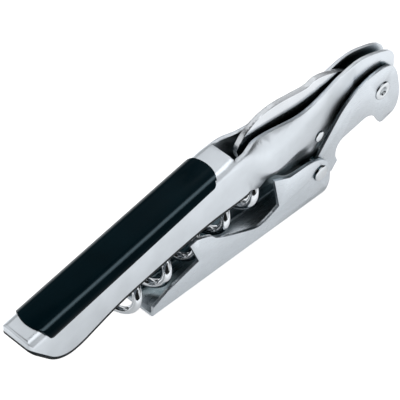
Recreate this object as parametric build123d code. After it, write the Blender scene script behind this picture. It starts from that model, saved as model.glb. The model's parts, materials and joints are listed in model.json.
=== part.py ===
from build123d import *
import math
import os

os.makedirs("parts", exist_ok=True)

# A folded two-step lever corkscrew. X runs from the tail of the handle to its head,
# Y is the direction of the pins and Z is up. The boot lever lies flat underneath.
# While the parts are made, X = 0 is the tip of the boot lever and Z = 0 its underside.
# All sizes are millimetres, all angles degrees.

# ---- sheet metal -----------------------------------------------------------------
sheet = 0.9                # pressed steel of the handle, the link and the boot lever
body_width = 10.4          # outside width of the handle and of the boot lever
handle_bend = 2.3          # outside bend radius along the back of the handle
lever_bend = 1.4           # outside bend radius along the boot lever's underside
plate_gap = 0.2            # air between the plates of neighbouring levers

# ---- fits ------------------------------------------------------------------------
running_gap = 0.05         # radial clearance of a piece that turns on a pin
seat_gap = 0.02            # clearance of a piece that is fixed to its neighbour
face_gap = 0.1             # clearance beside a piece that turns

# ---- pins ------------------------------------------------------------------------
hinge_reach = 57.9         # boot lever tip to hinge pin
hinge_height = 8.55        # underside to hinge pin
link_run = 23.3            # hinge pin to head pin, along X
link_rise = 11.85          # hinge pin to head pin, along Z
worm_pin_run = 1.65        # hinge pin to worm pin, along X
worm_pin_rise = 9.8        # hinge pin to worm pin, along Z
head_pin_radius = 2.0
head_pin_flange = 2.6      # radius of the head pin's rolled rim
head_pin_rim = 0.45        # how far the rolled rim stands proud
head_pin_bore = 1.3        # radius of the hollow in each end of the head pin
head_pin_hollow = 0.75     # depth of that hollow
hinge_pin_radius = 1.5
hinge_pin_head = 2.2       # radius of the domed heads
hinge_pin_dome = 0.75
worm_pin_radius = 1.1
worm_pin_head = 1.55
worm_pin_dome = 0.45

# ---- boot lever ------------------------------------------------------------------
boot_overhang = 3.6        # hinge pin to the rounded end
boot_toe_radius = 4.5      # rounding of the end's lower corner
boot_crown = 14.6          # height of the lever over the hinge
boot_web_end = 5.0         # the web stops this far before the hinge pin
step_one_x = 41.2          # first bottle step, at its tooth
step_one_height = 17.2
step_one_root = 7.4
step_one_lean = 1.9        # the step's wall leans this far from its tooth to its root
step_two_x = 12.4          # second bottle step, at its tooth
step_two_height = 15.6
step_two_root = 8.45
step_two_lean = 2.85
tooth_flat = 2.3
saddle_height = 5.3        # lowest point of the hollow between the steps
tip_height = 3.6

# ---- handle ----------------------------------------------------------------------
handle_reach = 119.7       # head pin back to the tail
head_overhang = 5.9        # head pin to the end of the head
tail_height = 20.4         # height of the back at the tail
back_slope = 10.7          # rise of the back towards the head, degrees
lip_depth = 2.7            # turned-down lip that closes the tail
lip_bend = 1.3             # outside radius where the back turns down into the lip
tail_corner = 1.6          # rounding of the tail in plan
opening_reach = 53.3       # head pin back to the end of the web
head_slot = 2.7            # gap between the cheeks at the head pin
knife_slot = 2.8           # gap between the cheeks along the knife
cheek_top = 33.6           # crest of the cheeks' top edges, near the head
cheek_dip = 30.4           # the top edges dip here, beside the knife
cheek_floor = 15.8         # underside of the cheeks over the cap lifter
link_margin = 0.35         # air between the cheeks and the link's plates
rim_drop = 1.0             # the walls beside the opening stand this much lower than the web
funnel_length = 9.5        # length over which the back opens into the knife slot
tuck_delay = 6.0           # opening to the start of the pressed-in lower walls
tuck_length = 12.0
tuck_height = 15.8         # top of the pressed-in lower wall, over the boot lever
tuck_margin = 1.2          # beside the link the pressed-in wall ends this far above its edge
swell_rise = 4.5           # joggle of the walls, from the pressed-in part to full width
cheek_stations = 11        # cross-sections along the pinched part
channel_overlap = 2.2      # the pinched part starts this far back, as plain channel

# ---- grip inlay ------------------------------------------------------------------
inlay_thickness = 0.5
inlay_tail = 3.3           # bare steel behind the inlay
inlay_length = 58.0
inlay_drop = 2.7           # how far the inlay wraps down each side, at the tail
inlay_taper = 0.7          # it wraps this much less at the front
inlay_corner = 1.6
inlay_crown = 1.9          # bulge of its two ends

# ---- cap lifter link -------------------------------------------------------------
link_eye_radius = 3.9
link_edge_offset = 3.0     # hinge pin to the long upper edge
link_nose = 6.6            # head pin to the link's foremost point
link_edge_angle = 50.0     # slope of the long upper edge
link_edge_length = 14.5
link_brow_run = 16.3       # head pin back to where the crown's slope is measured
link_brow_rise = 1.2       # height of the crown above the head pin there
link_brow_slope = 0.67     # rise of the crown for each mm of length

# ---- knife -----------------------------------------------------------------------
knife_thickness = 1.5
knife_eye_radius = 3.7
knife_reach = 48.9         # head pin back to the point
knife_crown = 36.5         # top of the spine
point_drop = 6.5           # crown down to the point
nose_drop = 1.9            # crown down to the spine's turn behind the point
saddle_drop = 1.4          # crown down to the spine over the slot
neck_drop = 3.7            # crown down to the spine before the eye
knife_edge_height = 25.6
bevel_depth = 1.8

# ---- worm ------------------------------------------------------------------------
worm_wire = 2.5            # wire diameter
worm_clearance = 0.25      # air between the worm and the handle's walls
worm_pitch = 10.05
worm_turns = 5.0
worm_slope = 11.0          # the folded worm drops towards the tail, degrees
worm_shank = 22.0          # pin to the first coil
worm_lead_in = 8.0         # length over which the coil opens out
worm_phase = 241.0         # where round the axis the first full coil starts, degrees
worm_eye_radius = 2.7
worm_eye_width = 3.0
worm_stations = 8          # points along each turn of the wire

# ---- derived places --------------------------------------------------------------
half_width = body_width / 2
boot_inner = half_width - sheet
link_outer = boot_inner - plate_gap
link_inner = link_outer - sheet
cheek_inner = head_slot / 2
cheek_outer = cheek_inner + sheet
cheek_under_link = link_inner - link_margin
hinge_x, hinge_z = hinge_reach, hinge_height
head_x, head_z = hinge_x + link_run, hinge_z + link_rise
worm_x, worm_z = hinge_x + worm_pin_run, hinge_z + worm_pin_rise
boot_end_x = hinge_x + boot_overhang
head_end_x = head_x + head_overhang
tail_x = head_x - handle_reach
web_end_x = head_x - opening_reach
funnel_x = web_end_x - handle_bend        # the flat channel ends here
pinch_x = funnel_x + tuck_delay + tuck_length
cheek_x = head_x - 2.4 * knife_eye_radius  # the flat cheeks start here
origin_x = (tail_x + head_x + link_nose) / 2
beyond = 4 * body_width                   # a length that clears the whole part
round_pull = 0.5523                       # pull of a cubic curve that follows a quarter circle


def from_hinge(dx, dz):
    return (hinge_x + dx, hinge_z + dz)


def from_head(dx, dz):
    return (head_x + dx, head_z + dz)


def side_slab(outline, half):
    """A solid with this outline in side view, reaching half to each side."""
    return extrude(Plane.XZ * make_face(outline), half, both=True)


def plate_pair(outline, outer, inner):
    """Two equal plates, one on each side of the middle."""
    return side_slab(outline, outer) - side_slab(outline, inner)


def cross_rod(x, z, radius, half):
    """A round rod across the part, centred on the middle."""
    return Pos(x, 0, z) * Rot(90, 0, 0) * Cylinder(radius, 2 * half)


def cross_ring(x, z, radius, bore, low, high):
    """A pair of washers, from low to high on each side."""
    washer = extrude(Circle(radius) - Circle(bore), high - low)
    near = Pos(x, -low, z) * Rot(90, 0, 0) * washer
    far = Pos(x, low, z) * Rot(-90, 0, 0) * washer
    return near, far


def domed_head(radius, rise, bore=0.0):
    """A shallow rivet head, standing on Z = 0."""
    ball = (radius**2 + rise**2) / (2 * rise)
    cap = Pos(0, 0, rise - ball) * Sphere(ball)
    head = cap & Pos(0, 0, rise / 2) * Cylinder(radius, rise)
    return head if bore == 0 else head - Cylinder(bore, 4 * rise)


def on_both_sides(piece, x, z, level):
    """The piece set outwards on the far and on the near side."""
    near = Pos(x, -level, z) * Rot(90, 0, 0) * piece
    far = Pos(x, level, z) * Rot(-90, 0, 0) * piece
    return near, far


# ---- handle ----------------------------------------------------------------------
def back_height(x):
    """Height of the handle's back above the underside."""
    return tail_height + (x - tail_x) * math.tan(math.radians(back_slope))


def smooth_edge(start, start_pull, end_pull, end):
    """A cubic curve whose ends leave along these pulls."""
    first = (start[0] + start_pull[0], start[1] + start_pull[1])
    second = (end[0] - end_pull[0], end[1] - end_pull[1])
    return Bezier(start, first, second, end)


def section_edges(top, lean, shoulder, foot, inset):
    """Half of a cross-section of the handle, as (y, z) edges from the foot to the top.

    The wall rises from the foot, swells out to the shoulder and closes in to the top,
    where it leans by the given angle: 0 is flat like the web, 90 upright.
    """
    angle = math.radians(lean)
    foot_y = foot[0] - inset
    start, joggle = (foot_y, -body_width), (foot_y, foot[1])
    swell = (shoulder[0] - inset, shoulder[1])
    crest = (top[0] - inset * math.sin(angle), top[1] - inset * math.cos(angle))
    rise = swell[1] - joggle[1]
    width, height = swell[0] - crest[0], crest[1] - swell[1]
    closing = round_pull * (width * math.cos(angle) + height * math.sin(angle))
    return [
        Line(start, joggle),
        smooth_edge(joggle, (0, rise / 3), (0, rise / 3), swell),
        smooth_edge(swell, (0, round_pull * height),
                    (-closing * math.cos(angle), closing * math.sin(angle)), crest),
    ], start, crest


def section(x, top, lean, shoulder, foot, inset=0.0):
    """A closed cross-section of the handle at x."""
    half, start, crest = section_edges(top, lean, shoulder, foot, inset)
    other = [mirror(edge, about=Plane.YZ) for edge in half]
    roof = Line(crest, (-crest[0], crest[1]))
    floor = Line(start, (-start[0], start[1]))
    plane = Plane(origin=(x, 0, 0), x_dir=(0, 1, 0), z_dir=(1, 0, 0))
    return plane * make_face([*half, *other, roof, floor])


def channel_section(x, inset=0.0):
    """The flat-backed channel of the handle at x."""
    top = back_height(x)
    return section(
        x,
        top=(half_width - handle_bend, top),
        lean=0,
        shoulder=(half_width, top - handle_bend),
        foot=(half_width, top - 2 * handle_bend),
        inset=inset,
    )


def ease(x, start, end):
    """0 before start, 1 after end, and a smooth rise between them."""
    share = min(1.0, max(0.0, (x - start) / (end - start)))
    return share * share * (3 - 2 * share)


def between(low, high, share):
    return low + (high - low) * share


def link_edge_height(x):
    """Height of the link's long upper edge, and of its crown beyond it."""
    turn = math.radians(link_edge_angle)
    straight = hinge_z + link_edge_offset / math.cos(turn) + (x - hinge_x) * math.tan(turn)
    crown = head_z + link_brow_rise + link_brow_slope * (x - head_x + link_brow_run)
    return min(straight, crown)


def pinched_section(x, inset=0.0):
    """Cross-section between the flat channel and the flat cheeks.

    The back opens, the walls lean together along the knife, and their lower parts are
    pressed inwards to pass between the plates of the link.
    """
    opening = ease(x, funnel_x, funnel_x + funnel_length)
    tucking = ease(x, funnel_x + tuck_delay, funnel_x + tuck_delay + tuck_length)
    rising = ease(x, pinch_x, cheek_x)
    flattening = ease(x, cheek_x - 0.6 * (cheek_x - pinch_x), cheek_x)
    waist = between(half_width - handle_bend, knife_slot / 2 + sheet, opening)
    back = back_height(x)
    level = back_height(min(x, funnel_x))
    lowering = ease(x, funnel_x, pinch_x)
    joggle_z = max(tuck_height, link_edge_height(x) + tuck_margin)
    swell_z = between(level - handle_bend, joggle_z + swell_rise, lowering)
    foot_z = between(level - 2 * handle_bend, joggle_z, lowering)
    foot_y = between(half_width, cheek_under_link, tucking)
    return section(
        x,
        top=(between(waist, cheek_outer, flattening), between(back, cheek_top, opening)),
        lean=70 * ease(x, funnel_x, funnel_x + 1.5 * funnel_length) + 20 * rising,
        shoulder=(
            between(half_width, cheek_outer, ease(x, pinch_x - tuck_length / 2, cheek_x - knife_eye_radius)),
            swell_z,
        ),
        foot=(between(foot_y, cheek_outer, flattening), foot_z),
        inset=inset,
    )


def cheek_sections(inset=0.0):
    """Cross-sections from the flat channel to the flat cheeks, closest at the channel."""
    run = cheek_x - funnel_x
    places = [funnel_x + run * (i / cheek_stations) ** 1.3 for i in range(cheek_stations + 1)]
    return [pinched_section(x, inset) for x in (funnel_x - channel_overlap, *places)]


def press_form(inset=0.0):
    """The handle as a full body, before it is hollowed and trimmed."""
    start = tail_x + inset
    slope = (1, 0, math.tan(math.radians(back_slope)))
    run = funnel_x - channel_overlap - start
    length = run / math.cos(math.radians(back_slope))
    channel = extrude(channel_section(start, inset), length, dir=slope)
    swelling = loft(cheek_sections(inset))
    head_plane = Plane(origin=(cheek_x, 0, 0), x_dir=(0, 1, 0), z_dir=(1, 0, 0))
    upright = Pos(0, cheek_top / 2) * Rectangle(2 * (cheek_outer - inset), 2 * cheek_top)
    head = extrude(head_plane * upright, beyond)
    return channel, swelling, head


def handle_outline():
    """Side view of the pressed handle: its lower edge, its tail and its head."""
    back = back_height(tail_x)
    lip = (tail_x, back - lip_depth)
    lip_top = (tail_x, back - lip_bend)
    bend_end = (tail_x + lip_bend, back_height(tail_x + lip_bend))
    heel = (tail_x + 4.9, 12.3)
    sole = (tail_x + 9.3, 9.25)
    keel = (tail_x + 13.3, 8.8)
    belly = [(tail_x + 18.9, 10.3), (tail_x + 26.0, 12.7), (tail_x + 38.7, 15.35), (web_end_x - 5.5, 18.4)]
    wall_end = (web_end_x + 4.3, 18.8)
    notch = (web_end_x + 5.7, 19.5)
    waist = [(web_end_x + 8.2, 17.9), (web_end_x + 14.0, 16.9), (web_end_x + 18.2, 14.2),
             (hinge_x - 5.5, 12.4)]
    rise = from_hinge(5.0, cheek_floor - hinge_z)
    under = (head_x, cheek_floor)
    nose = (head_end_x, head_z)
    brow = (head_end_x, cheek_top - 6.8)
    crown = (head_end_x - 2.5, cheek_top - 3.1)
    rim_z = back_height(web_end_x) - rim_drop
    crest = [crown, from_head(-1.7, 12.1), from_head(-6.3, cheek_top - head_z), from_head(-17.2, 11.6),
             from_head(-27.7, cheek_dip - head_z), from_head(-38.2, 11.3), from_head(-45.2, 11.9)]
    rim = (web_end_x + 0.5, rim_z)
    web_top = (web_end_x, rim_z + rim_drop)
    above = 2 * cheek_top
    return [
        Line(lip, heel),
        Spline(heel, sole, keel, tangents=[(1, -1.15), (1, 0.12)]),
        Spline(keel, *belly, wall_end, tangents=[(1, 0.12), (1, 0.1)]),
        Line(wall_end, notch),
        Line(notch, waist[0]),
        Spline(*waist, tangents=[(1, -0.6), (1, -0.05)]),
        Spline(waist[-1], rise, tangents=[(1, -0.05), (1, 0.5)]),
        Line(rise, under),
        RadiusArc(under, nose, -head_overhang),
        Line(nose, brow),
        RadiusArc(brow, crown, -4.6),
        Spline(*crest, rim, tangents=[(-1, 0.6), (-1, 0)]),
        Line(rim, web_top),
        Line(web_top, (web_top[0], above)),
        Line((web_top[0], above), (bend_end[0], above)),
        Line((bend_end[0], above), bend_end),
        RadiusArc(bend_end, lip_top, -lip_bend),
        Line(lip_top, lip),
    ]


def handle_plan():
    """Plan view of the handle, with its tail's corners rounded, as a tall solid."""
    reach, half = beyond * 4, half_width + 1
    corner, side = tail_x + tail_corner, half_width - tail_corner
    near = [
        Line((tail_x, 0), (tail_x, side)),
        RadiusArc((tail_x, side), (corner, half_width), tail_corner),
        Line((corner, half_width), (corner, half)),
        Line((corner, half), (corner + reach, half)),
        Line((corner + reach, half), (corner + reach, 0)),
    ]
    plan = make_face([*near, *[mirror(edge, about=Plane.XZ) for edge in near]])
    return extrude(plan, beyond)


def slot_cutter():
    """Plan view of the opening that narrows to the knife slot, as a tall solid."""
    mouth = (web_end_x, half_width - handle_bend - 0.4)
    corner = (web_end_x + 0.5, half_width - sheet - 0.4)
    throat = (web_end_x + funnel_length, knife_slot / 2)
    neck = (cheek_x - 4.0, knife_slot / 2 - 0.1)
    end = (cheek_x, cheek_inner)
    out = (cheek_x + beyond, cheek_inner)
    side = [
        Line((web_end_x, 0), mouth),
        Line(mouth, corner),
        Spline(corner, throat, tangents=[(1, -0.6), (1, -0.06)]),
        Spline(throat, neck, end, tangents=[(1, 0), (1, 0)]),
        Line(end, out),
        Line(out, (out[0], 0)),
    ]
    other = [mirror(edge, about=Plane.XZ) for edge in side]
    plan = make_face([*side, *other])
    return extrude(Pos(0, 0, cheek_top - 8.0) * plan, beyond)


def make_handle():
    outer = press_form()
    inner = press_form(sheet)
    shell = outer[0] + outer[1] + outer[2]
    for hollow in inner:
        shell -= hollow
    shell -= slot_cutter()
    shell &= side_slab(handle_outline(), half_width + 1)
    shell &= handle_plan()
    shell -= cross_rod(head_x, head_z, head_pin_radius + seat_gap, beyond)
    shell -= cross_rod(worm_x, worm_z, worm_pin_radius + seat_gap, beyond)
    return shell


def make_inlay():
    """Black insert that saddles the back of the handle."""
    start = tail_x + inlay_tail
    end = start + inlay_length
    slope = (1, 0, math.tan(math.radians(back_slope)))
    length = (inlay_tail + inlay_length + 1) / math.cos(math.radians(back_slope))
    outer = extrude(channel_section(tail_x, -inlay_thickness), length, dir=slope)
    inner = extrude(channel_section(tail_x, 0), length, dir=slope)
    first, last = start + inlay_crown, end - inlay_crown
    low_first = back_height(first) - inlay_drop
    low_last = back_height(last) - inlay_drop + inlay_taper
    top = 2 * cheek_top
    window = make_face([
        Line((start, top), (start, low_first + inlay_corner)),
        Line((start, low_first + inlay_corner), (first, low_first + inlay_corner)),
        RadiusArc((first, low_first + inlay_corner), (first + inlay_corner, low_first), -inlay_corner),
        Line((first + inlay_corner, low_first), (last - inlay_corner, low_last)),
        RadiusArc((last - inlay_corner, low_last), (last, low_last + inlay_corner), -inlay_corner),
        Line((last, low_last + inlay_corner), (end, low_last + inlay_corner)),
        Line((end, low_last + inlay_corner), (end, top)),
        Line((end, top), (start, top)),
    ])
    saddle = (outer - inner) & extrude(Plane.XZ * window, half_width + 2, both=True)
    reach = half_width + inlay_thickness
    plan = make_face([
        ThreePointArc((first, -reach), (start, 0), (first, reach)),
        Line((first, reach), (last, reach)),
        ThreePointArc((last, reach), (end, 0), (last, -reach)),
        Line((last, -reach), (first, -reach)),
    ])
    return saddle & extrude(plan, top)


# ---- boot lever ------------------------------------------------------------------
def boot_outline():
    """Side view of the boot lever with its two bottle steps."""
    step_one = (step_one_x, step_one_height)
    root_one = (step_one_x + step_one_lean, step_one_root)
    step_two = (step_two_x, step_two_height)
    root_two = (step_two_x + step_two_lean, step_two_root)
    ramp_top = (step_two_x + tooth_flat, step_two_height + 0.4)
    saddle = (step_one_x - 4.8, saddle_height)
    ramp_foot = (step_one_x - 10.1, 7.1)
    ramp = (step_one_x - 20.5, 12.6)
    plateau = (step_one_x + 5.6, boot_crown)
    brow = (hinge_x - 6.0, boot_crown - 0.1)
    shoulder = from_hinge(0.2, 4.3)
    end = (boot_end_x, hinge_z - 2.6)
    toe = (boot_end_x, boot_toe_radius)
    sole = (boot_end_x - boot_toe_radius, 0)
    return [
        Line((0, 0), sole),
        RadiusArc(sole, toe, -boot_toe_radius),
        Line(toe, end),
        Spline(end, shoulder, brow, tangents=[(0, 1), (-1, 0.03)]),
        Line(brow, plateau),
        Line(plateau, step_one),
        Line(step_one, root_one),
        Spline(root_one, saddle, ramp_foot, ramp, ramp_top, tangents=[(-1, -0.45), (-1, 0.35)]),
        Line(ramp_top, step_two),
        Line(step_two, root_two),
        Line(root_two, (4.8, 5.75)),
        Line((4.8, 5.75), (0, tip_height)),
        Line((0, tip_height), (0, 0)),
    ]


def channel_form(outer, bend, height):
    """Cross-section of a channel that is open at the top, standing on Z = 0."""
    profile = Pos(0, height) * Rectangle(2 * outer, 2 * height)
    return fillet(profile.vertices().group_by(Axis.Y)[0], bend)


def make_boot():
    across = Plane(origin=(-1, 0, 0), x_dir=(0, 1, 0), z_dir=(1, 0, 0))
    tall = 2 * step_one_height
    outer = extrude(across * channel_form(half_width, lever_bend, tall), 2 * hinge_x)
    hollow = channel_form(boot_inner, lever_bend - sheet, tall)
    inner = Pos(0, 0, sheet) * extrude(across * hollow, 2 * hinge_x)
    lever = (outer - inner) & side_slab(boot_outline(), half_width + 1)
    web_end = hinge_x - boot_web_end
    relief = Pos(web_end + beyond / 2, 0, 0) * Box(beyond, 2 * boot_inner, 2 * sheet)
    lever -= relief
    return lever - cross_rod(hinge_x, hinge_z, hinge_pin_radius + seat_gap, beyond)


# ---- cap lifter link -------------------------------------------------------------
def link_outline():
    """Side view of the link: eye at the hinge, crown round the head pin, cap mouth."""
    turn = math.radians(link_edge_angle)
    along = (math.cos(turn), math.sin(turn))
    foot = -math.sqrt(link_eye_radius**2 - link_edge_offset**2)
    eye_top = from_hinge(foot * along[0] - link_edge_offset * along[1],
                         foot * along[1] + link_edge_offset * along[0])
    edge_end = (eye_top[0] + (link_edge_length - foot) * along[0],
                eye_top[1] + (link_edge_length - foot) * along[1])
    shoulder = from_head(-8.5, 6.4)
    crown = from_head(-1.2, 7.7)
    brow = from_head(2.9, 6.6)
    nose = [from_head(5.9, 0.3), from_head(link_nose, -4.4)]
    jaw = from_head(4.6, -9.9)
    beak = from_head(0.6, -10.9)
    beak_inside = from_head(-0.4, -10.5)
    roof_head = from_head(-6.2, -5.4)
    roof_tail = from_hinge(9.2, 5.1)
    cheek = from_hinge(7.1, 3.4)
    throat = from_hinge(6.6, 0.6)
    tooth = from_hinge(7.4, -1.4)
    heel = from_hinge(5.5, -3.7)
    low = from_hinge(0.5, -math.sqrt(link_eye_radius**2 - 0.25))
    return [
        Line(eye_top, edge_end),
        Spline(edge_end, shoulder, crown, brow, tangents=[along, (1, -0.75)]),
        Spline(brow, *nose, jaw, tangents=[(1, -0.75), (-1, -0.6)]),
        Line(jaw, beak),
        Line(beak, beak_inside),
        Spline(beak_inside, roof_head, tangents=[(-0.7, 1), (-1, 0.02)]),
        Line(roof_head, roof_tail),
        Spline(roof_tail, cheek, throat, tangents=[(-1, -0.3), (0, -1)]),
        Line(throat, tooth),
        Line(tooth, heel),
        Line(heel, low),
        ThreePointArc(low, from_hinge(-link_eye_radius, 0), eye_top),
    ]


def link_bridge():
    """Side view of the strip that joins the two plates, from the eye to the small tooth."""
    tooth, heel, low = from_hinge(7.2, -1.4), from_hinge(5.4, -3.4), from_hinge(1.8, -3.6)
    inside = [(x - 0.6 * sheet, z + 0.8 * sheet) for x, z in (low, heel, tooth)]
    return Polyline(tooth, heel, low, *inside, close=True)


def make_link():
    link = plate_pair(link_outline(), link_outer, link_inner)
    link += side_slab(link_bridge(), link_inner + sheet / 2)
    link -= cross_rod(head_x, head_z, head_pin_radius + running_gap, beyond)
    return link - cross_rod(hinge_x, hinge_z, hinge_pin_radius + running_gap, beyond)


# ---- knife -----------------------------------------------------------------------
def knife_outline():
    """Side view of the foil knife: eye on the head pin, humped spine, straight edge."""
    top = knife_crown - head_z
    point = from_head(-knife_reach, top - point_drop)
    edge = from_head(-knife_reach + 3.4, knife_edge_height - head_z)
    heel = from_head(-13.0, knife_edge_height - head_z - 0.9)
    eye_low = from_head(0, -knife_eye_radius)
    eye_top = from_head(0.9, knife_eye_radius - 0.1)
    nose = from_head(-knife_reach + 4.5, top - nose_drop)
    crown = from_head(-36.0, top)
    saddle = from_head(-23.9, top - saddle_drop)
    neck = from_head(-12.6, top - neck_drop)
    return [
        Spline(point, nose, crown, saddle, neck, tangents=[(0.5, 1), (1, -0.45)]),
        Spline(neck, eye_top, tangents=[(1, -0.45), (1, -0.35)]),
        RadiusArc(eye_top, eye_low, -knife_eye_radius),
        Spline(eye_low, heel, tangents=[(-1, 0), (-1, 0.1)]),
        Line(heel, edge),
        Spline(edge, point, tangents=[(-1, 0), (-0.4, 1)]),
    ]


def make_knife():
    half = knife_thickness / 2
    knife = side_slab(knife_outline(), half)
    low = knife_edge_height - 1.2
    bevel_x = head_x - 13.0
    for side in (-1, 1):
        facet = Polyline(
            (side * (half + 0.2), low + bevel_depth + 1.2),
            (side * (half + 0.2), low),
            (side * 0.15, low),
            (side * half, low + bevel_depth + 1.2),
            close=True,
        )
        plane = Plane(origin=(tail_x, 0, 0), x_dir=(0, 1, 0), z_dir=(1, 0, 0))
        knife -= extrude(plane * make_face(facet), bevel_x - tail_x)
    return knife - cross_rod(head_x, head_z, head_pin_radius + running_gap, beyond)


# ---- pins and washers ------------------------------------------------------------
def make_head_pin():
    """Rivet with a rolled rim and a shallow hollow on each side."""
    level = link_outer + face_gap
    pin = cross_rod(head_x, head_z, head_pin_radius, level + 0.05)
    rim = domed_head(head_pin_flange, head_pin_rim, head_pin_bore)
    for head in on_both_sides(rim, head_x, head_z, level):
        pin += head
    hollow = cross_rod(head_x, head_z, head_pin_bore, beyond)
    solid_half = level + head_pin_rim - head_pin_hollow
    return pin - (hollow - cross_rod(head_x, head_z, 2 * head_pin_bore, solid_half))


def make_head_washers():
    """Washers that fill the space between the cheeks and the link."""
    near, far = cross_ring(
        head_x, head_z, head_pin_radius + 1.3, head_pin_radius + seat_gap,
        cheek_outer + seat_gap, link_inner - face_gap,
    )
    return Compound(children=[near, far])


def solid_rivet(x, z, radius, head_radius, dome, level):
    pin = cross_rod(x, z, radius, level + 0.05)
    for head in on_both_sides(domed_head(head_radius, dome), x, z, level):
        pin += head
    return pin


def make_hinge_pin():
    return solid_rivet(
        hinge_x, hinge_z, hinge_pin_radius, hinge_pin_head, hinge_pin_dome, half_width + seat_gap
    )


def make_worm_pin():
    return solid_rivet(
        worm_x, worm_z, worm_pin_radius, worm_pin_head, worm_pin_dome, cheek_under_link + face_gap
    )


# ---- worm ------------------------------------------------------------------------
def worm_frame():
    """Directions along the folded worm, across it and below it."""
    turn = math.radians(worm_slope)
    along = Vector(-math.cos(turn), 0, -math.sin(turn))
    across = Vector(0, 1, 0)
    return along, across, along.cross(across)


def worm_point(reach):
    """Centre of the wire at this distance from the worm pin."""
    along, across, below = worm_frame()
    coil = boot_inner - worm_clearance - worm_wire / 2
    opening = min(1.0, max(0.0, (reach - worm_shank + worm_lead_in) / worm_lead_in))
    radius = coil * opening * opening * (3 - 2 * opening)
    turn = -2 * math.pi * (reach - worm_shank) / worm_pitch + math.radians(worm_phase)
    centre = Vector(worm_x, 0, worm_z) + along * reach
    return centre + across * (radius * math.cos(turn)) + below * (radius * math.sin(turn))


def make_worm():
    along = worm_frame()[0]
    start = worm_eye_radius - 0.4
    end = worm_shank + worm_turns * worm_pitch
    steps = round((end - worm_shank + worm_lead_in) / worm_pitch * worm_stations)
    first = worm_shank - worm_lead_in
    reaches = [first + (end - first) * i / steps for i in range(steps + 1)]
    path = Spline([worm_point(reach) for reach in reaches])
    wire = sweep(Plane(path @ 0, z_dir=path % 0) * Circle(worm_wire / 2), path=path)
    shank_start = Vector(worm_x, 0, worm_z) + along * start
    shank = extrude(Plane(shank_start, z_dir=along) * Circle(worm_wire / 2), first - start)
    eye = cross_rod(worm_x, worm_z, worm_eye_radius, worm_eye_width / 2)
    worm = eye + shank + wire
    return worm - cross_rod(worm_x, worm_z, worm_pin_radius + running_gap, beyond)


def save(piece, node):
    """Write one node with the part's origin under the middle of its length."""
    placed = Pos(-origin_x, 0, 0) * piece
    placed.label = node
    export_step(placed, f"parts/{node}.step")
    box = placed.bounding_box()
    print(f"{node:18s} volume {placed.volume:8.1f}  x {box.min.X:7.2f} {box.max.X:7.2f}"
          f"  y {box.min.Y:6.2f} {box.max.Y:6.2f}  z {box.min.Z:6.2f} {box.max.Z:6.2f}")


def main():
    save(make_handle(), "handle_body")
    save(make_inlay(), "grip_inlay")
    save(make_knife(), "foil_knife")
    save(make_head_pin(), "head_pin")
    save(make_head_washers(), "head_washers")
    save(make_link(), "cap_lifter_link")
    save(make_hinge_pin(), "hinge_pin")
    save(make_boot(), "boot_lever")
    save(make_worm_pin(), "worm_pin")
    save(make_worm(), "worm")
    for name, x, z in (("head", head_x, head_z), ("hinge", hinge_x, hinge_z), ("worm", worm_x, worm_z)):
        print(f"{name} pin at x {x - origin_x:.3f}, z {z:.3f}")


main()
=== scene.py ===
# %% [markdown]
# # A folding waiter's corkscrew
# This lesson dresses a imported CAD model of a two-step lever corkscrew: a pressed steel handle
# with a black inlay, a foil knife, a cap lifter link, a stepped boot lever and a worm.
# The CAD model is the fixed frame. Pieces and pins are read from it, and the few lengths that
# are written here again, such as the wire's, are the same as in the CAD source.
# Blender could also model the whole tool, but the levers have to turn on their pins exactly,
# and that is what the CAD model guarantees.

# %% Load the frame
import bpy
import bmesh
import json
import math
from mathutils import Matrix, Vector


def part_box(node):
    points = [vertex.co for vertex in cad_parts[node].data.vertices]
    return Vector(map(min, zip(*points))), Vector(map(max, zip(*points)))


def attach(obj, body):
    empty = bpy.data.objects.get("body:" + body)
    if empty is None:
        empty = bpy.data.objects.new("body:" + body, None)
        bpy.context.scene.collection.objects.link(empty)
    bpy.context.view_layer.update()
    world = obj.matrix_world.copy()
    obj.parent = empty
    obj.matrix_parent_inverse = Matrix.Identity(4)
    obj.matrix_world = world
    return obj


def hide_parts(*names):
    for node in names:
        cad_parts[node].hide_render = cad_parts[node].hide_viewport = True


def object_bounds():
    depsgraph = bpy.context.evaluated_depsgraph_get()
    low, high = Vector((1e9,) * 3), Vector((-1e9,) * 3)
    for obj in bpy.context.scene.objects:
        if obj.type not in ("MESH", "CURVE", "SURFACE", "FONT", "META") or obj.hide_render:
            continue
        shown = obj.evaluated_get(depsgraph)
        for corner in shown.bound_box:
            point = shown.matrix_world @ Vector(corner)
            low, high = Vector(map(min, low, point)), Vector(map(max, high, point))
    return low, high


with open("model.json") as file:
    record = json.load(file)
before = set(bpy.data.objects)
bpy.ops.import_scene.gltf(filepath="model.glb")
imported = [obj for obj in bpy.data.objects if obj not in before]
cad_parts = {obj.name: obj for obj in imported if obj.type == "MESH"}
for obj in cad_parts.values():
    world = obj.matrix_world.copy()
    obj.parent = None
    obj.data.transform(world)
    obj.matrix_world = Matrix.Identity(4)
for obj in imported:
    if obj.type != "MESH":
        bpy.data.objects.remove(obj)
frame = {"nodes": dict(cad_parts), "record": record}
cad_low, cad_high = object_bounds()
scene = bpy.context.scene
mm = 0.001
print("nodes:", ", ".join(sorted(frame["nodes"])))
print("length of the tool in mm:", round((cad_high.x - cad_low.x) / mm, 2))

# %% [markdown]
# ## Helpers for materials
# A procedural material is a small graph of nodes. Written out in full, each graph takes a page,
# so a few helpers keep the cells short: they make an empty material with its shader, add a node,
# and do what comes back in every material, which is to stretch a range, to multiply, to tint a
# colour and to add fine relief. A node group would also do, but a function is easier to read.

# %% Material helpers
noise_span = (0.3, 0.7)
relief_height = 0.02 * mm


def new_material(name):
    """An empty material and its shader node."""
    material = bpy.data.materials.new(name)
    material.use_nodes = True
    shader = material.node_tree.nodes["Principled BSDF"]
    return material, shader


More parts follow.
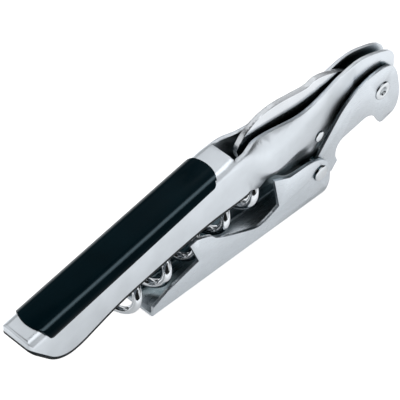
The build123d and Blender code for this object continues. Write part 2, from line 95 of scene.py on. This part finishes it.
def add(material, kind, links=None, **settings):
    """A node of this kind. links maps an input's name or number to the socket that feeds it."""
    node = material.node_tree.nodes.new(kind)
    for key, value in settings.items():
        if hasattr(node, key):
            setattr(node, key, value)
        else:
            node.inputs[key.replace("_", " ")].default_value = value
    for key, socket in (links or {}).items():
        material.node_tree.links.new(socket, node.inputs[key])
    return node


def plug(material, socket, shader, name):
    """Link a socket to one of the shader's inputs."""
    material.node_tree.links.new(socket, shader.inputs[name])


def stretched(material, value, given, wanted=(0.0, 1.0), ease="LINEAR"):
    """The value with its range given stretched to the range wanted."""
    node = add(material, "ShaderNodeMapRange", {"Value": value}, interpolation_type=ease)
    node.inputs["From Min"].default_value, node.inputs["From Max"].default_value = given
    node.inputs["To Min"].default_value, node.inputs["To Max"].default_value = wanted
    return node.outputs["Result"]


def product(material, first, second):
    """Two values multiplied."""
    return add(material, "ShaderNodeMath", {0: first, 1: second}, operation="MULTIPLY").outputs["Value"]


def tinted(material, colour, strength):
    """A colour made lighter or darker by a value."""
    node = add(material, "ShaderNodeVectorMath", {"Scale": strength}, operation="SCALE")
    node.inputs[0].default_value = colour
    return node.outputs["Vector"]


def relief(material, shader, height, strength):
    """Fine relief in the shader's surface, from a value that stands for its height."""
    bump = add(material, "ShaderNodeBump", {"Height": height}, Strength=strength, Distance=relief_height)
    plug(material, bump.outputs["Normal"], shader, "Normal")


print("a noise node's values mostly lie between", *noise_span)

# %% [markdown]
# ## Satin steel
# The pressed sheet is brushed along its length, then handled for years. Brushing leaves very
# fine lines that spread a reflection across them, and handling leaves faint cloudy patches. Sharp
# edges are painted lighter, partly as rubbed wear and partly as a painted highlight. A picture of
# steel could be wrapped round the part, but it would stretch over the bends. Noise in the object's
# own coordinates has no seams: squeezed in two directions and stretched along X, it becomes lines.
#
# Bare steel mirrors its neighbours and makes a hollow too bright, so an occlusion node finds the
# closed-in places and mixes in painted shade there: a near-black colour for the handle and a
# bluer one for the levers.

# %% Steel with lines, clouds, edges lightened for wear and highlight, and painted shade in hollows
clouds_per_metre = 160.0
line_contrast = 0.015
# Edges painted lighter, partly rubbed wear and partly a painted highlight: pointiness range and gain
worn_and_highlit_edge = (0.52, 0.60)
worn_and_highlit_gain = 1.25
smoother, rougher = 0.02, 0.03
# Painted shade in hollows: how far the occlusion looks, and the near-black colours mixed in
shade_search_reach = 11.0 * mm
dark_painted_shade = (0.010, 0.035, 0.048)
blue_painted_shade = (0.075, 0.150, 0.175)
brushed_along = (250, 5200, 5200)
ground_across = (5200, 5200, 260)


def steel(name, colour, roughness, lines, line_depth=0.06, cloud=0.05, edge_wear_and_highlight=0.5, shade_openness=(0.30, 0.62),
          shade_colour=dark_painted_shade):
    """Metal with brushed lines. lines holds the noise cells per metre along X, Y and Z.
    The range of openness holds how open a place is where the painted shade is full, and where it stops."""
    material, shader = new_material(name)
    shader.inputs["Metallic"].default_value = 1.0
    place = add(material, "ShaderNodeTexCoord").outputs["Object"]
    squeezed = add(material, "ShaderNodeMapping", {"Vector": place})
    squeezed.inputs["Scale"].default_value = lines
    hairs = add(material, "ShaderNodeTexNoise", {"Vector": squeezed.outputs["Vector"]},
                Scale=1.0, Detail=3.0, Roughness=0.6).outputs["Fac"]
    clouds = add(material, "ShaderNodeTexNoise", {"Vector": place},
                 Scale=clouds_per_metre, Detail=2.0).outputs["Fac"]

    cloudy = stretched(material, clouds, noise_span, (1.0 - cloud, 1.0 + cloud))
    fine = stretched(material, hairs, noise_span, (1.0 - line_contrast, 1.0 + line_contrast))
    tint = tinted(material, colour, product(material, cloudy, fine))
    # Sharp edges are painted lighter: partly rubbed wear, partly a painted highlight.
    sharpness = add(material, "ShaderNodeNewGeometry").outputs["Pointiness"]
    worn_and_highlit = add(material, "ShaderNodeMix", data_type="VECTOR", links={
        "Factor": stretched(material, sharpness, worn_and_highlit_edge, (0.0, edge_wear_and_highlight)), "A": tint})
    worn_and_highlit.inputs[5].default_value = [min(1.0, part * worn_and_highlit_gain) for part in colour]
    # Painted shade: where the occlusion finds a closed-in place, the colour turns to the shade colour.
    openness = add(material, "ShaderNodeAmbientOcclusion", samples=12, Distance=shade_search_reach).outputs["AO"]
    unshaded = stretched(material, openness, shade_openness, ease="SMOOTHSTEP")
    surface = add(material, "ShaderNodeMix", {"Factor": unshaded, "B": worn_and_highlit.outputs[1]}, data_type="VECTOR")
    surface.inputs[4].default_value = shade_colour
    plug(material, surface.outputs[1], shader, "Base Color")

    spread = stretched(material, hairs, noise_span, (roughness - smoother, roughness + rougher))
    plug(material, spread, shader, "Roughness")
    relief(material, shader, hairs, line_depth)
    return material


satin_steel = steel("satin steel", (0.58, 0.62, 0.66), 0.30, brushed_along)
lever_steel = steel("lever steel", (0.545, 0.585, 0.625), 0.28, brushed_along,
                    shade_openness=(0.22, 0.66), shade_colour=blue_painted_shade)
print("satin steel nodes:", len(satin_steel.node_tree.nodes))

# %% [markdown]
# ## Blade, rivets and worm
# The knife is ground across its edge, so its lines run up and down. Rivets and worm are polished
# after forming: nearly a mirror, with only faint drawing marks. All three are the same metal as
# the sheet, so the same function makes them with other numbers. A separate chrome shader would
# add nothing but a second graph to keep in step.

# %% Ground and polished steel
blade_steel = steel("ground blade steel", (0.585, 0.61, 0.64), 0.24, ground_across, line_depth=0.25)
rivet_steel = steel("rivet steel", (0.62, 0.65, 0.68), 0.16, (900, 900, 900),
                    line_depth=0.1, cloud=0.03, shade_openness=(0.58, 0.97))
worm_steel = steel("polished worm steel", (0.64, 0.67, 0.70), 0.10, (700, 2600, 700),
                   line_depth=0.1, cloud=0.03, shade_openness=(0.15, 0.65))
print("blade, rivets and worm share", len(blade_steel.node_tree.nodes), "nodes each")

# %% [markdown]
# ## Black inlay
# The grip inlay is moulded plastic with a fine skin. It is nearly black with a cold tint. Hands
# rub its two long bends to a gloss, and each catches the lamps as one grey line, while the flats
# stay dull. One gloss for the whole piece would turn its top grey too, so the gloss depends on
# which way a face leans: it is full on the bends and almost nothing above and below them.

# %% Moulded black plastic
lean_of_bend = (0.30, 0.44)
lean_of_side = (0.50, 0.66)
dull_to_glossy = (0.03, 0.7)
skin_per_metre = 5200.0
skin_depth = 0.25
patches_per_metre = 120.0
patch_smoother, patch_rougher = 0.04, 0.05
cold_reflection = (0.62, 0.86, 1.0, 1.0)


def moulded_plastic(name, colour, roughness):
    """Dull plastic with a gloss where its faces lean as on the bend between top and side."""
    material, shader = new_material(name)
    coordinates = add(material, "ShaderNodeTexCoord")
    place = coordinates.outputs["Object"]
    facing = add(material, "ShaderNodeSeparateXYZ", {"Vector": coordinates.outputs["Normal"]})
    lean = add(material, "ShaderNodeMath", {0: facing.outputs["Y"]}, operation="ABSOLUTE").outputs["Value"]
    past_top = stretched(material, lean, lean_of_bend)
    before_side = stretched(material, lean, lean_of_side, (1.0, 0.0))
    on_bend = product(material, past_top, before_side)
    plug(material, stretched(material, on_bend, (0.0, 1.0), dull_to_glossy), shader, "Specular IOR Level")
    shader.inputs["Specular Tint"].default_value = cold_reflection

    skin = add(material, "ShaderNodeTexNoise", {"Vector": place},
               Scale=skin_per_metre, Detail=2.0).outputs["Fac"]
    patches = add(material, "ShaderNodeTexNoise", {"Vector": place},
                  Scale=patches_per_metre, Detail=3.0).outputs["Fac"]
    patchy = stretched(material, patches, noise_span, (0.8, 1.2))
    plug(material, tinted(material, colour, patchy), shader, "Base Color")
    spread = stretched(material, patches, noise_span, (roughness - patch_smoother, roughness + patch_rougher))
    plug(material, spread, shader, "Roughness")
    relief(material, shader, skin, skin_depth)
    return material


black_grip = moulded_plastic("moulded black plastic", (0.0012, 0.0085, 0.0125), 0.14)
print("black inlay roughness from 0.10 to 0.19, glossy on its bends only")

# %% [markdown]
# ## Pressed parts with soft edges
# Blanking and tumbling leave no knife-sharp corner on sheet steel: each edge has a radius of a
# tenth of a millimetre, which catches the light. The CAD solids have sharp edges, to stay light.
# A copy of each solid gets a bevel modifier that works only where two faces meet at an angle.
# The copy stands in for the CAD node, which keeps doing the collisions. Blender holds a radius
# back where short edges of the mesh would overlap, so some of the edges stay nearly sharp.

# %% Copy a solid and soften its edges
same_point = 0.002 * mm
same_plane = math.radians(0.6)
sharp_edge = math.radians(32)


def softened(node, material, radius):
    """A copy of a CAD node with rounded edges, which takes the node's place."""
    source = frame["nodes"][node]
    body = next(name for name, nodes in frame["record"]["behaviour"]["bodies"].items() if node in nodes)
    mesh = source.data.copy()
    work = bmesh.new()
    work.from_mesh(mesh)
    bmesh.ops.remove_doubles(work, verts=work.verts, dist=same_point)
    bmesh.ops.dissolve_limit(work, angle_limit=same_plane, verts=work.verts, edges=work.edges)
    work.to_mesh(mesh)
    work.free()
    mesh.materials.clear()
    mesh.materials.append(material)
    piece = bpy.data.objects.new(node + "_soft", mesh)
    scene.collection.objects.link(piece)
    mesh.shade_smooth()
    bevel = piece.modifiers.new("soft edges", "BEVEL")
    bevel.width, bevel.segments = radius, 2
    bevel.limit_method, bevel.angle_limit = "ANGLE", sharp_edge
    bevel.harden_normals = True
    bevel.miter_outer = "MITER_ARC"
    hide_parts(node)
    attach(piece, body)
    print(node, "faces", len(mesh.polygons), "edge radius in mm", round(radius / mm, 2))
    return piece


handle = softened("handle_body", satin_steel, 0.14 * mm)
softened("cap_lifter_link", lever_steel, 0.14 * mm)
softened("boot_lever", lever_steel, 0.14 * mm)
softened("foil_knife", blade_steel, 0.12 * mm)
softened("grip_inlay", black_grip, 0.15 * mm)

# %% [markdown]
# ## The cut edge in painted shade
# Where the sheet was blanked, its edge is rounded over. Along the open side of the handle it lies
# in shade and shows as a thin black line. A dark strip laid over the edge would stand proud, so a
# second bevel rounds just these edges further and paints its faces with a near-black metal as
# painted shade. Its clamp is off, because one short edge would otherwise hold the whole bevel
# back, and it is moved before the soft edges, which then round what it leaves.

# %% Mark the handle's lower rim, round it and give it painted shade
# Painted shade on the lower rim: a near-black steel for the bevel's faces.
rim_shade_steel = steel("painted rim shade", (0.004, 0.008, 0.010), 0.50, brushed_along)
handle_half_width = 5.2 * mm
rim_end_x = 8.0 * mm
corner_reach = 2.0 * mm


def is_lower_rim(edge):
    """True where an outer wall of the handle, its tail or the corner between them meets the cut edge."""
    if len(edge.link_faces) != 2:
        return False
    middle = (edge.verts[0].co + edge.verts[1].co) / 2
    far_out = abs(middle.y) > handle_half_width - corner_reach
    for wall, cut in (edge.link_faces, reversed(edge.link_faces)):
        facing, under = wall.normal, cut.normal
        upright = abs(facing.z) < 0.45
        faces_side = facing.y * middle.y > 0 and abs(facing.y) > 0.25 and far_out
        faces_tail = facing.x < -0.6
        is_cut = under.z < 0.1 and abs(under.y) < 0.3
        bends = facing.dot(under) < 0.85
        if upright and (faces_side or faces_tail) and is_cut and bends and middle.x < rim_end_x:
            return True
    return False


def round_lower_rim(piece, width):
    """Bevel the lower rim by this width, with a near-black metal on the bevel as painted shade."""
    mesh = piece.data
    work = bmesh.new()
    work.from_mesh(mesh)
    weight = work.edges.layers.float.new("bevel_weight_edge")
    rim = [edge for edge in work.edges if is_lower_rim(edge)]
    for edge in rim:
        edge[weight] = 1.0
    work.to_mesh(mesh)
    work.free()
    mesh.materials.append(rim_shade_steel)
    bevel = piece.modifiers.new("cut edge", "BEVEL")
    bevel.width, bevel.segments, bevel.profile = width, 2, 0.96
    bevel.limit_method, bevel.material = "WEIGHT", 1
    bevel.use_clamp_overlap = False
    bevel.loop_slide = False
    piece.modifiers.move(1, 0)
    print("rim edges marked:", len(rim))


round_lower_rim(handle, 0.80 * mm)

# %% [markdown]
# ## Rivets
# Each rivet is a turned part: one profile spun round its axis. The head pin ends in a rolled rim
# round a shallow bowl, and the other two in low domes with an upright shoulder, where the painted
# shade of the steel draws a dark line. A screw modifier could spin the profile as well, but a loop
# keeps both ends capped and the mesh final.

# %% Turned pieces
tip_radius = 0.02 * mm
profile_corner = math.radians(50)


def turned(name, centre, profile, material, closed=False, steps=64):
    """A profile of (radius, y) spun round an axis along Y; closed joins its end to its start."""
    mesh = bpy.data.meshes.new(name)
    work = bmesh.new()
    rings = []
    for k in range(steps):
        angle = 2 * math.pi * k / steps
        out = Vector((math.cos(angle), 0, math.sin(angle)))
        rings.append([work.verts.new(centre + out * r + Vector((0, y, 0))) for r, y in profile])
    spans = len(profile) if closed else len(profile) - 1
    for k in range(steps):
        a, b = rings[k], rings[(k + 1) % steps]
        for i in range(spans):
            j = (i + 1) % len(profile)
            work.faces.new((a[i], a[j], b[j], b[i]))
    if not closed:
        work.faces.new([ring[0] for ring in rings])
        work.faces.new([ring[-1] for ring in rings])
    bmesh.ops.recalc_face_normals(work, faces=work.faces)
    work.to_mesh(mesh)
    work.free()
    mesh.shade_smooth()
    mesh.set_sharp_from_angle(angle=profile_corner)
    mesh.materials.append(material)
    piece = bpy.data.objects.new(name, mesh)
    scene.collection.objects.link(piece)
    return piece


def dome(radius, rise, shoulder, steps=7):
    """Half profile of a low dome on an upright shoulder, as (radius, depth below the top)."""
    arc = [math.radians(90) * k / steps for k in range(steps + 1)]
    crown = [(max(radius * math.sin(t), tip_radius), (rise - shoulder) * (1 - math.cos(t))) for t in arc]
    return crown + [(radius, rise)]


def rolled_rim():
    """Half profile of a rolled rim round a shallow bowl, from the bowl's middle outwards."""
    bowl_floor = [(0.02, 0.72), (0.55, 0.68), (0.90, 0.50), (1.15, 0.22), (1.40, 0.03)]
    rim = [(1.75, 0.0), (2.10, 0.05), (2.40, 0.17), (2.56, 0.30), (2.60, 0.45)]
    return [(radius * mm, depth * mm) for radius, depth in bowl_floor + rim]


# %% Three rivets
# For each rivet: the body it rides on, the radius of its shank, and one head as a half profile.
heads = {
    "head_pin": ("handle", 2.0 * mm, rolled_rim()),
    "hinge_pin": ("boot", 1.5 * mm, dome(2.2 * mm, 0.75 * mm, 0.25 * mm)),
    "worm_pin": ("handle", 1.1 * mm, dome(1.55 * mm, 0.45 * mm, 0.15 * mm)),
}
for node, (body, shank_radius, half) in heads.items():
    low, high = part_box(node)
    top = (high.y - low.y) / 2
    near = [(r, depth - top) for r, depth in half]
    near.append((shank_radius, near[-1][1]))
    profile = near + [(r, -y) for r, y in reversed(near)]
    rivet = turned(node + "_turned", (low + high) / 2, profile, rivet_steel)
    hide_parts(node)
    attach(rivet, body)
    print(node, "head radius in mm:", round(max(r for r, y in half) / mm, 2))

washers = frame["nodes"]["head_washers"]
washers.data.materials.clear()
washers.data.materials.append(rivet_steel)

# %% [markdown]
# ## Worm
# The worm is one steel wire: a flattened eye on its pin, a straight shank and five open turns
# that end in a ground point. A screw modifier makes coils, but not the shank that leads into
# them or the point. So the centre line is worked out point by point, and a ring of vertices is
# carried along it. The ring's radius shrinks over the last turn, which makes the point.

# %% The worm's centre line
pin_low, pin_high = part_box("worm_pin")
worm_pin = (pin_low + pin_high) / 2
wire = 2.5 * mm
sheet = 0.9 * mm
worm_clearance = 0.25 * mm
coil = handle_half_width - sheet - worm_clearance - wire / 2
pitch = 10.05 * mm
turns = 5.0
shank = 22.0 * mm
lead_in = 8.0 * mm
slope = math.radians(11.0)
phase = math.radians(241.0)
along = Vector((-math.cos(slope), 0, -math.sin(slope)))
across = Vector((0, 1, 0))
below = along.cross(across)


def worm_point(reach):
    """Centre of the wire at this distance from the worm pin."""
    opening = min(1.0, max(0.0, (reach - shank + lead_in) / lead_in))
    radius = coil * opening * opening * (3 - 2 * opening)
    turn = -2 * math.pi * (reach - shank) / pitch + phase
    return worm_pin + along * reach + across * (radius * math.cos(turn)) + below * (radius * math.sin(turn))


rings_along = 420
worm_start = 2.0 * mm
worm_end = shank + turns * pitch
reaches = [worm_start + (worm_end - worm_start) * i / rings_along for i in range(rings_along + 1)]
worm_line = [worm_point(reach) for reach in reaches]
print("worm length in mm:", round(worm_end / mm, 1))

# %% Carry a ring along the centre line
ground_length = 0.95 * pitch
blunt_tip = 0.12


def wire_radius(reach):
    """Full wire, then a ground point over the last turn."""
    share = min(1.0, max(0.0, (worm_end - reach) / ground_length))
    return wire / 2 * (blunt_tip + (1 - blunt_tip) * share ** 0.6)


def ringed_tube(name, line, radii, sides=20):
    """A closed tube along a line, with one radius for each of its points."""
    mesh = bpy.data.meshes.new(name)
    work = bmesh.new()
    side = Vector((0, 1, 0))
    rings = []
    for i, point in enumerate(line):
        ahead = line[min(i + 1, len(line) - 1)] - line[max(i - 1, 0)]
        ahead.normalize()
        side = (side - ahead * side.dot(ahead)).normalized()
        up = ahead.cross(side)
        ring = []
        for k in range(sides):
            angle = 2 * math.pi * k / sides
            ring.append(work.verts.new(point + (side * math.cos(angle) + up * math.sin(angle)) * radii[i]))
        rings.append(ring)
    for a, b in zip(rings, rings[1:]):
        for k in range(sides):
            work.faces.new((a[k], a[(k + 1) % sides], b[(k + 1) % sides], b[k]))
    work.faces.new(list(reversed(rings[0])))
    work.faces.new(rings[-1])
    bmesh.ops.recalc_face_normals(work, faces=work.faces)
    work.to_mesh(mesh)
    work.free()
    mesh.shade_smooth()
    piece = bpy.data.objects.new(name, mesh)
    scene.collection.objects.link(piece)
    return piece


worm = ringed_tube("worm_wire", worm_line, [wire_radius(reach) for reach in reaches])
worm.data.materials.append(worm_steel)
print("worm faces:", len(worm.data.polygons))

# %% [markdown]
# The eye is the wire's end, flattened and drilled for the pin. It is turned like the rivets, from
# a closed profile with its corners cut off, which leaves a clean bore.

# %% The worm's eye
eye_bore = 1.15 * mm
eye_radius = 2.7 * mm
eye_half = 1.5 * mm
eye_edge = 0.4 * mm
eye_profile = [(eye_bore, -eye_half), (eye_radius - eye_edge, -eye_half), (eye_radius, eye_edge - eye_half),
               (eye_radius, eye_half - eye_edge), (eye_radius - eye_edge, eye_half), (eye_bore, eye_half)]
eye = turned("worm_eye", worm_pin, eye_profile, worm_steel, closed=True)
for piece in (worm, eye):
    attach(piece, "worm")
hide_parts("worm")
print("worm eye faces:", len(eye.data.polygons))

# %% [markdown]
# ## Floor
# The tool stands on a plain pale floor that reads white. If lamps alone made it white, they would
# bleach the steel too. So the floor glows for the camera and for reflections, which light the
# metal evenly from below, and it still takes the tool's soft shadow. Its glow in reflections is
# weaker close to the tool, as it is in the shade of the tool's underside. It casts no shadow of
# its own, so the occlusion node in the steel looks past it and paints no shade on the underside.

# %% A pale floor that keeps the shadow
floor_z = cad_low.z - 0.02 * mm
shade_reach = 34 * mm


def pale_floor(name, height, size, to_camera, in_shade, in_light):
    """A matt floor that glows by these strengths: for the camera, and for reflections beside the
    tool and well away from it."""
    material = bpy.data.materials.new(name)
    material.use_nodes = True
    tree = material.node_tree
    tree.nodes.clear()
    matt = add(material, "ShaderNodeBsdfDiffuse", Color=(0.80, 0.80, 0.80, 1))
    ray = add(material, "ShaderNodeLightPath").outputs
    mirrored = add(material, "ShaderNodeMath", {0: ray["Is Glossy Ray"], 1: ray["Is Transmission Ray"]},
                   operation="MAXIMUM").outputs["Value"]
    place = add(material, "ShaderNodeNewGeometry").outputs["Position"]
    apart = add(material, "ShaderNodeSeparateXYZ", {"Vector": place}).outputs["Y"]
    beside = add(material, "ShaderNodeMath", {0: apart}, operation="ABSOLUTE").outputs["Value"]
    shaded = stretched(material, beside, (0.0, shade_reach), (in_shade, in_light))
    seen = stretched(material, ray["Is Camera Ray"], (0.0, 1.0), (0.0, to_camera))
    strength = add(material, "ShaderNodeMath", {0: seen, 1: product(material, mirrored, shaded)},
                   operation="ADD").outputs["Value"]
    glow = add(material, "ShaderNodeEmission", {"Strength": strength}, Color=(1, 1, 1, 1))
    total = add(material, "ShaderNodeAddShader", {0: matt.outputs["BSDF"], 1: glow.outputs["Emission"]})
    add(material, "ShaderNodeOutputMaterial", {"Surface": total.outputs["Shader"]})

    corners = [(-size, -size, height), (size, -size, height), (size, size, height), (-size, size, height)]
    mesh = bpy.data.meshes.new(name)
    mesh.from_pydata(corners, [], [(0, 1, 2, 3)])
    mesh.materials.append(material)
    plane = bpy.data.objects.new(name, mesh)
    scene.collection.objects.link(plane)
    plane.visible_shadow = False


pale_floor("floor", floor_z, 3.0, to_camera=0.80, in_shade=0.32, in_light=0.86)
print("floor at z in mm:", round(floor_z / mm, 3))

# %% [markdown]
# ## Lamps and surroundings
# Polished and brushed metal shows its surroundings more than its own colour. A product studio
# therefore puts one large soft box where the bend of the handle mirrors it, one in front for the
# upright walls, a broad one overhead for the flat tops and weaker ones to the left, to the right
# and behind. The room between them stays dim, which gives the dark bands in the worm and rivets.
# A picture of a room would light it too, but its furniture would show in the steel.

# %% Soft boxes and a dim room
def soft_box(name, place, target, width, height, power):
    """A lamp of this size in metres and power in watts that faces the target."""
    lamp = bpy.data.lights.new(name, "AREA")
    lamp.shape, lamp.size, lamp.size_y, lamp.energy = "RECTANGLE", width, height, power
    piece = bpy.data.objects.new(name, lamp)
    piece.location = place
    piece.rotation_euler = (Vector(target) - Vector(place)).to_track_quat("-Z", "Y").to_euler()
    scene.collection.objects.link(piece)


tool_middle = (cad_low + cad_high) / 2
soft_box("bend light", (0.12, -0.16, 0.62), tool_middle, 0.46, 0.50, 1.40)
soft_box("front light", (0.18, -0.51, 0.27), tool_middle, 0.50, 0.46, 0.62)
soft_box("top light", (0.08, 0.34, 0.57), tool_middle, 0.66, 0.40, 0.92)
soft_box("left light", (-0.46, 0.31, 0.30), tool_middle, 0.46, 0.42, 0.62)
soft_box("right light", (0.50, 0.22, 0.32), tool_middle, 0.40, 0.40, 0.40)
soft_box("back light", (0.24, 0.58, 0.20), tool_middle, 0.60, 0.50, 0.56)

room = bpy.data.worlds.new("room")
room.use_nodes = True
scene.world = room
seen_directly = add(room, "ShaderNodeLightPath").outputs["Is Camera Ray"]
dim_or_white = stretched(room, seen_directly, (0.0, 1.0), (0.30, 1.0))
plug(room, dim_or_white, room.node_tree.nodes["Background"], "Strength")

# %% [markdown]
# ## Camera
# The tool is seen from the left front and 45 degrees above, from some distance, so its sides
# stay nearly parallel. A long lens further away would flatten it more, and a short one close by
# would swell the handle's tail. The aim is a point just beside the tool's middle.

# %% The camera
azimuth, elevation = math.radians(-45.0), math.radians(45.0)
distance = 0.600
toward = Vector((math.sin(azimuth) * math.cos(elevation),
                 -math.cos(azimuth) * math.cos(elevation),
                 math.sin(elevation)))
right = Vector((math.cos(azimuth), math.sin(azimuth), 0))
up = toward.cross(right)
near_middle = Vector((-0.5, 0, 16.05)) * mm
aside, above = 2.39 * mm, 2.25 * mm
aim = near_middle - right * aside + up * above
turned_to_aim = Matrix((right, up, toward)).transposed().to_4x4()
lens = bpy.data.cameras.new("camera")
lens.lens, lens.sensor_width = 224.6, 36.0
lens.clip_start, lens.clip_end = 0.01, 20.0
camera = bpy.data.objects.new("camera", lens)
camera.matrix_world = Matrix.Translation(aim + toward * distance) @ turned_to_aim
scene.collection.objects.link(camera)
scene.camera = camera
scene.view_settings.view_transform = "Standard"
print("camera at", [round(v, 4) for v in camera.location])
